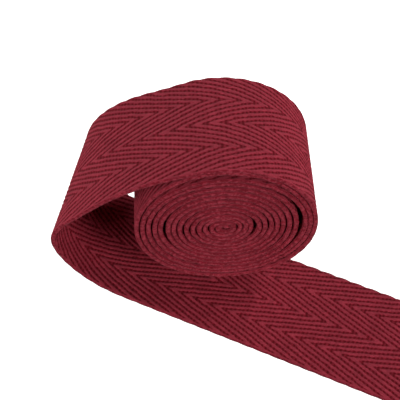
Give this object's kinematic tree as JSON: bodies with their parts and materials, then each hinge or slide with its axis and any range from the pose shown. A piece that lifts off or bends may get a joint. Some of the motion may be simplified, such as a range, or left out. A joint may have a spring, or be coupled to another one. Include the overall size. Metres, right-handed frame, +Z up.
{
  "type": "roll of cotton webbing",
  "caption": "Partly unrolled roll of herringbone cotton webbing: a round roll with a loose end that loops over to the left, folds under and lies flat beneath it.",
  "frame": {"origin": "middle of the bottom of the bounding box, on the surface that the loose end lies on", "axes": "+X to the right along the longest extent, +Y along the roll's axis away from the face that shows the spiral, +Z up"},
  "size_m": [0.1382, 0.095, 0.0629],
  "materials": {
    "webbing": "matte burgundy cotton in a herringbone weave, with woven selvedges"
  },
  "bodies": {
    "root": {"wound_roll": "webbing", "loose_end": "webbing"}
  },
  "joints": []
}
